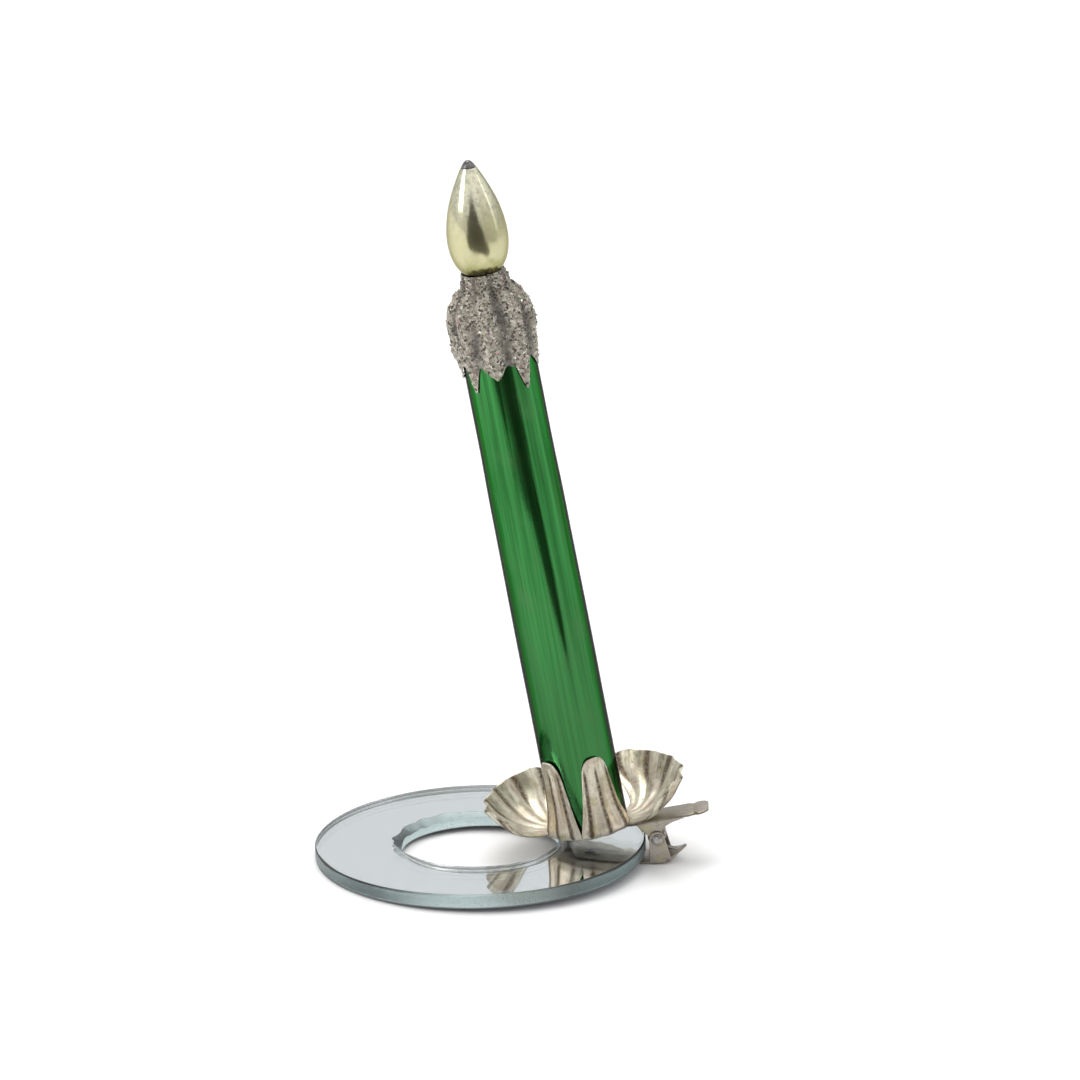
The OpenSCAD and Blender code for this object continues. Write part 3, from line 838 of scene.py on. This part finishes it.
def lever_shape(path, thick, width_at, outline, centre, hole, inner):
    shape = Shape()
    points, faces, crowns = bent_strip(path, thick, width_at)
    shape.add(points, faces, crown=crowns, rim=[0.0] * len(points))
    for y_low in (-inner - ear_t, inner):
        points, faces = ear_plate(outline, centre, hole, y_low, y_low + ear_t)
        shape.add(points, faces, crown=[0.8] * len(points), rim=[0.0] * len(points))
    return shape


# Lower lever, in the ring's frame
bow_x = 29.0
bow_depth = 1.65
lower_lip = np.array([14.9, -0.85])
lower_jaw = np.array([16.4, -lower_t / 2 - touch_gap])
lower_bow = np.array([bow_x, lower_t / 2 - bow_depth + 0.01])
lower_end = np.array([34.0, 0.55])
lower_path = np.concatenate([
    bezier(lower_lip, lower_lip + (0.5, 0.4), lower_jaw - (0.5, 0), lower_jaw, 14),
    bezier(lower_jaw, lower_jaw + (4, 0), lower_bow - (4, 0), lower_bow, 60),
    bezier(lower_bow, lower_bow + (1.6, 0), lower_end - (1.6, 1), lower_end, 50),
    [lower_end],
])


def lower_width(x):
    if x < 15.5:
        return 1.8 + math.sqrt(max(0.0, 0.64 - (15.5 - x) ** 2))
    if x < 31.2:
        return 2.6 + (lower_half - 2.6) * smooth(22.9, 26.5, x)
    taper = min((x - 31.2) / (lower_end[0] - 31.2), 1.0)
    return 0.32 + (lower_half - 0.32) * (1 - taper) ** 1.35


pivot_at = np.array([pivot_ring.x, pivot_ring.z])
left = pivot_at[0] - ear_r
lower_foot = [tuple(p) for p in lower_path if left < p[0] < 31.6]
lower_outline = [(left, lower_bow[1]), *lower_foot[1:], *arc(pivot_at, ear_r, 0, 180, 16)]
lever_shape(
    lower_path, lower_t, lower_width, lower_outline, pivot_at, pin_r + 0.01, lower_ear_in
).piece("lower_lever_sheet", ON_RING, "clip_lower", "lower_lever", "tinplate_lever", [lever_tin])

# Upper lever, in the lever's frame
handle_reach = 19.8
upper_mid = -upper_t / 2
contact_s = -3.9
ring_face = (ring_top - lever_top - contact_s * math.sin(lever_slope)) / math.cos(lever_slope)
jaw_mid = ring_face + touch_gap + upper_t / 2
crease_s = handle_reach - 2.6
upper_path = np.concatenate([
    bezier((-5, jaw_mid + 0.55), (-4.6, jaw_mid + 0.1), (-4.3, jaw_mid), (contact_s, jaw_mid), 12),
    bezier((contact_s, jaw_mid), (-3.3, jaw_mid), (-3.2, upper_mid), (-2.3, upper_mid), 14),
    [(s, upper_mid) for s in np.arange(-2.3, crease_s - 0.5, 0.3)],
    [(s, upper_mid + 0.12 * smooth(crease_s - 0.5, handle_reach, s)
      - 0.07 * math.exp(-((s - crease_s) / 0.16) ** 2))
     for s in np.arange(crease_s - 0.45, handle_reach - 0.05, 0.06)],
])


def upper_width(s):
    if s < -4.2:
        return 1.7 + math.sqrt(max(0.0, 0.64 - (-4.2 - s) ** 2))
    waist_s = handle_reach - 2.5
    width = 2.5 + (upper_half - 2.5) * smooth(5, 7.5, s)
    width += (2.5 - upper_half) * smooth(waist_s - 1, waist_s, s)
    width += (2.9 - 2.5) * smooth(waist_s, handle_reach - 1.8, s)
    beyond = s - (handle_reach - 1.85)
    if beyond > 0:
        width += math.sqrt(max(0.0, 1.85 ** 2 - beyond ** 2)) - 1.85
    return width


pivot_up = np.array([pivot_lever.x, pivot_lever.z])
upper_outline = [
    (7.4, upper_mid), (pivot_up[0] - ear_r, pivot_up[1] + 0.6), *arc(pivot_up, ear_r, 180, 360, 16),
    (pivot_up[0] + 0.9, pivot_up[1] + 1.15), (12.2, -1.35), (13.5, -0.85), (15.5, -0.5), (15.5, upper_mid),
]
lever_shape(
    upper_path, upper_t, upper_width, upper_outline, pivot_up, pin_r + 0.05, ear_in
).piece("upper_lever_sheet", ON_LEVER, "clip_upper", "upper_lever", "tinplate_lever", [lever_tin])

# Pivot pin, with its heads peened over the ears
pin_end = lower_half + 0.03
head_r, head_t = 0.95, 0.3
pin_half = [(pin_r, 0.0), (pin_r, pin_end), *rounded(
    [(pin_r, pin_end), (head_r, pin_end), (head_r, pin_end + head_t * 0.55), (0.5, pin_end + head_t),
     (0.0, pin_end + head_t)], 0.12, 4, closed=False)[1:]]
pin_profile = [(r, -z) for r, z in pin_half[::-1]] + pin_half[1:]
points, faces = spindle(pin_profile, 40)
points = [(pivot_ring.x + x, z, pivot_ring.z - y) for x, y, z in points]
pin_look = steel_look("pin_steel", (0.46, 0.44, 0.42), (0.16, 0.09, 0.05), 5.0)
Shape().add(points, faces).piece(
    "pivot_pin_peened", ON_RING, "clip_lower", "pivot_pin", "steel_pin", [pin_look]
)

# Torsion spring: one wire, coiled on the pin, with a leg against each lever
wire_r = 0.3
coil_r = 1.25
coil_half_y = 1.75
coil_turns = 4
leg_down, leg_up = math.radians(15.5), math.radians(21)
leg_down_length, leg_up_length = 3.9, 5.6


def coil_point(a, y):
    return np.array([-coil_r * math.sin(a), y, -coil_r * math.cos(a)])


def leg_direction(a):
    return np.array([-math.cos(a), 0, math.sin(a)])


coil_from, coil_to = leg_down, math.pi - leg_up + TAU * coil_turns
coil_steps = 40 * coil_turns + 16
legs = 10
wire_path = [
    coil_point(coil_from, -coil_half_y) - leg_down_length * (1 - k / legs) * leg_direction(coil_from)
    for k in range(legs)
]
wire_path += [
    coil_point(coil_from + f * (coil_to - coil_from), coil_half_y * (2 * f - 1))
    for f in (i / coil_steps for i in range(coil_steps + 1))
]
wire_path += [
    coil_point(coil_to, coil_half_y) + leg_up_length * (k + 1) / legs * leg_direction(coil_to)
    for k in range(legs)
]


def wire_tube(path, radius, sides):
    path = np.array(path)
    ahead = np.gradient(path, axis=0)
    points, last = [], len(path) - 1
    for i in range(len(path)):
        d = unit(ahead[i])
        u = unit(np.cross(d, (0, 1, 0)))
        v = np.cross(d, u)
        r = radius * (0.75 if i in (0, last) else 1.0)
        for k in range(sides):
            a = TAU * k / sides
            points.append(path[i] + r * (math.cos(a) * u + math.sin(a) * v))
    faces = grid_faces(len(path), sides)
    points += [path[0], path[last]]
    faces += fan_faces(list(range(sides)), len(points) - 2, flip=True)
    faces += fan_faces(list(range(last * sides, (last + 1) * sides)), len(points) - 1)
    return points, faces


points, faces = wire_tube(wire_path, wire_r, 14)
points = [(p[0] + pivot_ring.x, p[1], p[2] + pivot_ring.z) for p in points]
spring_look = steel_look("spring_wire", (0.4, 0.38, 0.36), (0.13, 0.08, 0.05), 6.0)
spring_piece = Shape().add(points, faces).piece(
    "torsion_spring_wire", ON_RING, None, "torsion_spring", "spring_wire", [spring_look], ride=False
)
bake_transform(spring_piece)

# ---------------------------------------------------------------- drip pan

pan_t = 0.3
pan_mid = pan_t / 2 + touch_gap
floor_r = 6.2
tube_r = 6.25
grip_r = tube_r + 0.07 + pan_t / 2
fan_reach = 16.1
fan_rise = 6.9
prong_height = 13.6
rivet_r = 0.8

fan_curve = [
    (floor_r, pan_mid),
    (8.3, pan_mid + 0.2),
    (floor_r + 0.42 * (fan_reach - floor_r), pan_mid + 0.13 * fan_rise),
    (floor_r + 0.67 * (fan_reach - floor_r), pan_mid + 0.36 * fan_rise),
    (floor_r + 0.86 * (fan_reach - floor_r), pan_mid + 0.66 * fan_rise),
    (fan_reach, pan_mid + fan_rise),
]
prong_curve = [
    (floor_r, pan_mid),
    (grip_r + 0.55, pan_mid + 0.15),
    (grip_r + 0.8, 0.09 * prong_height),
    (grip_r + 0.5, 0.2 * prong_height),
    (grip_r + 0.14, 0.36 * prong_height),
    (grip_r, 0.6 * prong_height),
    (grip_r, 0.84 * prong_height),
    (grip_r + 0.1, 0.94 * prong_height),
    (grip_r + 0.35, prong_height),
]


class Petal:
    """One petal of the stamped sheet; s runs across it from -1 to 1, t out along its curve from 0 to 1."""

    notch = 0.1

    def __init__(self, foot, tip, curve, columns, flutes, depth, squareness):
        self.foot, self.tip, self.curve, self.columns = foot, tip, curve, columns
        self.flutes, self.depth, self.squareness = flutes, depth, squareness
        self.is_fan = squareness > 3

    def reach(self, s):
        return self.notch + (1 - self.notch) * max(0.0, 1 - abs(s) ** self.squareness) ** (1 / 2.2)

    def point(self, s, t):
        r, z = spline(self.curve, t)
        foot = self.foot[0] + (self.foot[1] - self.foot[0]) * (s + 1) / 2
        tip = self.tip[0] + (self.tip[1] - self.tip[0]) * (s + 1) / 2
        a = math.radians(foot + (tip - foot) * t ** 3 * (10 - 15 * t + 6 * t * t))
        return np.array([r * math.cos(a), r * math.sin(a), z])

    def normal(self, s, t):
        """Square to the sheet, towards the candle."""
        d = 0.01
        t0 = max(t - d, 0)
        across = self.point(s + d, t) - self.point(s - d, t)
        along = self.point(s, min(t0 + 2 * d, 1)) - self.point(s, min(t0, 1 - 2 * d))
        return unit(np.cross(along, across))

    def crown(self, s):
        """1 on the round crown of a flute, 0 in the crease beside it."""
        phase = math.pi * self.flutes * (s + 1)
        return 0.2 * abs(math.cos(phase / 2)) + 0.8 * (0.5 + 0.5 * math.cos(phase))

    def swell(self, t):
        return t ** 1.3 if self.is_fan else 4 * t * max(0.0, 1 - t) ** 1.2

    def sheet(self, s, t):
        """Mid-surface point and normal, with the flutes and a few shallow dents."""
        n = self.normal(s, t)
        depth = self.depth * (1 - 0.6 * smooth(0.6, 1.0, abs(s)))
        p = self.point(s, t) - n * depth * self.swell(t) * (1 - self.crown(s))
        dent = 0.1 * rough(*p, 0.45, 5.0) + 0.04 * rough(*p, 1.3, 9.0)
        return p + n * dent * smooth(0.05, 0.4, t), n


FAN = (90, 6, 0.85, 12)
PRONG = (44, 3, 0.35, 2.6)
petals = [
    Petal((-24, 36), (-43, 80), fan_curve, *FAN),
    Petal((36, 86), (40, 80), prong_curve, *PRONG),
    Petal((86, 134), (90, 130), prong_curve, *PRONG),
    Petal((134, 192), (108, 219), fan_curve, *FAN),
    Petal((192, 259), (200, 244), prong_curve, *PRONG),
    Petal((259, 336), (271, 317), prong_curve, *PRONG),
]

pan_rows = 40
columns = []
for petal in petals:
    squeeze = 2.3 if petal.is_fan else 1.7
    for k in range(petal.columns):
        u = 2 * k / petal.columns - 1
        columns.append((petal, math.copysign(1 - (1 - abs(u)) ** squeeze, u)))

cols = len(columns)
mid = np.zeros((cols, pan_rows + 1, 3))
normals = np.zeros((cols, pan_rows + 1, 3))
crowns = np.zeros((cols, pan_rows + 1))
for c, (petal, s) in enumerate(columns):
    for row in range(pan_rows + 1):
        t = petal.reach(s) * row / pan_rows
        mid[c, row], normals[c, row] = petal.sheet(s, t)
        crowns[c, row] = 1 - (1 - petal.crown(s)) * min(1.0, 1.6 * petal.swell(t))
rim_normal = normals[:, -1]
rim_along = np.roll(mid[:, -1], -1, axis=0) - np.roll(mid[:, -1], 1, axis=0)
outward = np.cross(rim_along, rim_normal)
outward /= np.linalg.norm(outward, axis=1)[:, None]

layers, layer_crowns, layer_rims, layer_fans = [], [], [], []
is_fan = np.array([float(petal.is_fan) for petal, s in columns])
across = np.array([petals.index(petal) * 7.3 + petal.flutes * 1.9 * s for petal, s in columns])


def layer(points, crown, rim):
    layers.append(points)
    layer_crowns.append(crown)
    layer_rims.append(np.full(cols, rim))
    layer_fans.append(is_fan * min(1.0, 2.5 * rim))


foot_angle = np.array([
    math.radians(p.foot[0] + (p.foot[1] - p.foot[0]) * (s + 1) / 2) for p, s in columns
])
hole = rivet_r + 0.06
hole_ring = np.stack([hole * np.cos(foot_angle), hole * np.sin(foot_angle), np.full(cols, pan_mid)], axis=1)
lift = np.array([0, 0, pan_t / 2])
layer(hole_ring - lift, np.full(cols, 0.7), 0.0)
layer(hole_ring + lift, np.full(cols, 0.7), 0.0)
for row in range(pan_rows + 1):
    layer(mid[:, row] + normals[:, row] * pan_t / 2, crowns[:, row], row / pan_rows)
for turn_degrees in (45, 0, -45):
    a = math.radians(turn_degrees)
    layer(mid[:, -1] + (rim_normal * math.sin(a) + outward * math.cos(a)) * pan_t / 2, crowns[:, -1], 1.0)
for row in range(pan_rows, -1, -1):
    layer(mid[:, row] - normals[:, row] * pan_t / 2, crowns[:, row], row / pan_rows)
pan_points = np.concatenate(layers)
pan_faces = grid_faces(len(layers), cols, wrap_rows=True)
pan_tin = tinplate_look(
    "pan_tinplate", (0.72, 0.67, 0.56), (0.56, 0.48, 0.39), (0.12, 0.085, 0.055), (0.74, 0.71, 0.57), 4.0
)
Shape().add(
    pan_points, pan_faces, crown=list(np.concatenate(layer_crowns)), rim=list(np.concatenate(layer_rims)),
    fan=list(np.concatenate(layer_fans)), across=list(np.tile(across, len(layers))),
).piece("drip_pan_sheet", ON_LEVER, "clip_upper", "drip_pan", "tinplate_pan", [pan_tin], crease=50)

# Rivet through the pan and the upper lever
rivet_seat = pan_t + 2 * touch_gap
rivet_tail = -upper_t - touch_gap
rivet_profile = [(0.0, rivet_tail - 0.3), *rounded(
    [(0.0, rivet_tail - 0.3), (0.6, rivet_tail - 0.3), (1.3, rivet_tail - 0.12), (1.3, rivet_tail),
     (rivet_r, rivet_tail), (rivet_r, rivet_seat), (1.9, rivet_seat), (1.9, rivet_seat + 0.1),
     (1.3, rivet_seat + 0.27), (0.0, rivet_seat + 0.3)], 0.1, 3, closed=False)[1:]]
Shape().add(*spindle(rivet_profile, 48)).piece(
    "pan_rivet_domed", ON_LEVER, "clip_upper", "pan_rivet", "steel_pin", [pin_look]
)

# ---------------------------------------------------------------- candle

tube_wall = 0.8
tube_foot = 0.6
shoulder_z = 89.0
shoulder_h = 6.3
neck_r = 3.45
flame_z = 98.3
flame_h = 19.0
flame_r = 5.1
flame_lean = math.radians(3.4)
flame_wall = 0.7
glass_turns = 128


def glass_radius(z):
    """Outside of the glass over the tube, the shoulder and the neck."""
    if z < shoulder_z:
        return tube_r
    if z > shoulder_z + shoulder_h:
        return neck_r
    f = (z - shoulder_z) / shoulder_h
    return neck_r + (tube_r - neck_r) * max(0.0, 1 - f ** 2.4) ** 0.7


def drawn_radius(z):
    """The tube was drawn by hand, so it is a little thinner towards the top."""
    thinner = 0.028 * smooth(56, 70, z) + 0.005 * math.sin(z / 7.0) * smooth(16, 30, z)
    return glass_radius(z) * (1 - thinner)


heights = [
    *np.arange(tube_foot + 0.3, prong_height + 2.5, 0.3), *np.arange(prong_height + 2.8, shoulder_z, 1.2),
    *np.linspace(shoulder_z, shoulder_z + shoulder_h, 26), flame_z,
]
foot_edge = [(tube_r - 0.3, tube_foot), (tube_r - 0.08, tube_foot + 0.08)]
outside = foot_edge + [(drawn_radius(z), z) for z in heights]
inside = [
    (drawn_radius(z) - tube_wall, z - (0.6 * tube_wall if z < flame_z else 0)) for z in heights[:0:-1]
] + [(tube_r - tube_wall, tube_foot)]
green = lacquered_glass_look("green_silvered_glass", green_base, (0.01, 0.06, 0.02), 0.04, 3.0, 0.09, 0.18)
Shape().add(*lathe(outside + inside, glass_turns)).piece(
    "candle_glass_tube", ON_LEVER, "candle", "candle_tube", "green_glass", [green], crease=60
)

# Flame, a little off the candle's axis
ON_NECK = ON_LEVER @ Matrix.Translation((0, 0, flame_z * MM)) @ Matrix.Rotation(flame_lean, 4, "Y")
ON_NECK = ON_NECK @ Matrix.Translation((0, 0, (neck_r * math.sin(flame_lean) + touch_gap) * MM))
flame_curve = [
    (neck_r, 0), (0.86 * flame_r, 0.085), (0.97 * flame_r, 0.19), (flame_r, 0.31), (0.95 * flame_r, 0.44),
    (0.82 * flame_r, 0.59), (0.61 * flame_r, 0.74), (0.38 * flame_r, 0.87), (0.25 * flame_r, 0.935),
]
flame_steps = 90
flame_line = [spline(flame_curve, i / flame_steps) for i in range(flame_steps + 1)]
flame_outside = [(r, f * flame_h) for r, f in flame_line]
flame_inside = [(max(r - flame_wall, 0.3), f * flame_h) for r, f in flame_line[::-1]]
gold = lacquered_glass_look("gilt_silvered_glass", gold_base, (0.42, 0.4, 0.28), 0.02, 2.2, 0.13, 0.6)
Shape().add(*lathe(flame_outside + flame_inside, glass_turns)).piece(
    "flame_glass_bulb", ON_NECK, "candle", "flame_bulb", "gilt_glass", [gold], crease=60
)

tip_r, tip_f = flame_curve[-1]
tip_base, tip_h = tip_f * flame_h, flame_h * (1 - tip_f)
tip_steps = [(0.0, 0.0), (1.0, 0.0), (0.78, 0.4), (0.5, 0.75), (0.22, 0.96), (0.0, 1.0)]
tip_outline = rounded([(r * tip_r, tip_base + f * tip_h) for r, f in tip_steps], 0.35, 5, closed=False)
Shape().add(*spindle(tip_outline, 64)).piece(
    "flame_sealed_tip", ON_NECK, "candle", "flame_tip", "dark_glass", [dark_glass_look()], crease=60
)

# ---------------------------------------------------------------- glitter drips

drip_count = 9
drip_fall = 15.0
drip_extra = 4.8
drip_phase = math.radians(117)
longest_drip = math.radians(236)
crust_t = 0.22
crust_lump = 0.85
crust_gap = 0.05


def drip_crown(a):
    return (0.5 + 0.5 * math.cos(drip_count * a + drip_phase + math.radians(25) * math.sin(2 * a))) ** 1.4


def drip_low(a):
    longest = 0.7 + 0.3 * math.cos(5 * (a - longest_drip))
    ragged = 0.5 * rough(math.cos(a), math.sin(a), 0, 9.0, 2.0)
    return flame_z - drip_fall - drip_extra * drip_crown(a) * longest + ragged


def drip_height(a, f):
    low = drip_low(a)
    return low + (flame_z + 0.12 - low) * f ** 0.85


def groove_at(a, f):
    """1 in the groove between two drips, fading in and out along it; it masks the painted shade there."""
    broken = 0.62 + 0.75 * rough(1.6 * math.cos(a), 1.6 * math.sin(a), 1.7 * f, 1.6, 6.0)
    return max(0.0, min(1.0, (1 - drip_crown(a) ** 0.5) * broken * 1.3))


def drip_thick(a, f):
    edge = min(1, 6 * f) * min(1, 0.35 + 5 * (1 - f))
    lumps = 0.18 * math.sin(5 * a + math.radians(300 * f)) * math.sin(4 * a - math.radians(500 * f))
    swell = crust_lump * drip_crown(a) * (0.35 + 0.65 * math.sin(math.radians(150 * f)))
    return edge * (crust_t + swell * (1 - f ** 6) + lumps) + 0.06


def crust_outer(a, f):
    """A point on the crust's lumpy outside, in the lever's frame."""
    z = drip_height(a, f)
    r = glass_radius(z) + crust_gap + drip_thick(a, f)
    x, y = r * math.cos(a), r * math.sin(a)
    bumps = 0.3 * rough(x, y, z, 0.42, 1.0) + 0.16 * rough(x, y, z, 0.9, 4.0) + 0.1 * rough(x, y, z, 2.4, 8.0)
    bumps = max(bumps, -0.25)
    k = (r + bumps * min(1, 8 * f)) / r
    return x * k, y * k, z


crust_cols, crust_rows = 220, 84
inner, outer = [], []
for row in range(crust_rows + 1):
    f = row / crust_rows
    for c in range(crust_cols):
        a = TAU * c / crust_cols
        z = drip_height(a, f)
        r = glass_radius(z) + crust_gap
        inner.append((r * math.cos(a), r * math.sin(a), z))
        outer.append(crust_outer(a, f))
inward_rows = range(crust_rows, -1, -1)
crust_points = outer + [p for row in inward_rows for p in inner[row * crust_cols:(row + 1) * crust_cols]]
crust_grooves = [
    groove_at(TAU * c / crust_cols, row / crust_rows)
    for row in [*range(crust_rows + 1), *inward_rows] for c in range(crust_cols)
]
Shape().add(
    crust_points, grid_faces(2 * (crust_rows + 1), crust_cols, wrap_rows=True), groove=crust_grooves
).piece(
    "glitter_crust", ON_LEVER, "candle", "glitter_drips", "glitter", [crust_look()], crease=80
)

draw = random.Random(SEED)
grains = Shape()
grain_count = 2600
octahedron = [(1, 0, 0), (-1, 0, 0), (0, 1, 0), (0, -1, 0), (0, 0, 1), (0, 0, -1)]
octahedron_faces = [[0, 2, 4], [2, 1, 4], [1, 3, 4], [3, 0, 4], [2, 0, 5], [1, 2, 5], [3, 1, 5], [0, 3, 5]]
for _ in range(grain_count):
    a = draw.uniform(0, TAU)
    f = draw.uniform(0.0, 1.0) ** 0.9
    centre = np.array(crust_outer(a, f))
    size = draw.uniform(0.2, 0.44)
    centre[:2] *= 1 - 0.3 * size / np.hypot(*centre[:2])
    angle = draw.uniform(0, TAU)
    spin = Matrix.Rotation(angle, 3, Vector([draw.gauss(0, 1) for _ in range(3)]))
    stretch = (draw.uniform(0.7, 1.3), draw.uniform(0.6, 1.1), draw.uniform(0.4, 0.8))
    chip = []
    for corner in octahedron:
        uneven = Vector([size * k * s * draw.uniform(0.8, 1.15) for k, s in zip(corner, stretch)])
        chip.append(tuple(Vector(centre) + spin @ uneven))
    pick = draw.random()
    grains.add(chip, octahedron_faces, pick=[pick] * 6, groove=[groove_at(a, f)] * 6)
grains.piece(
    "glitter_grains", ON_LEVER, "candle", None, "glitter", [grain_look()], crease=10
)
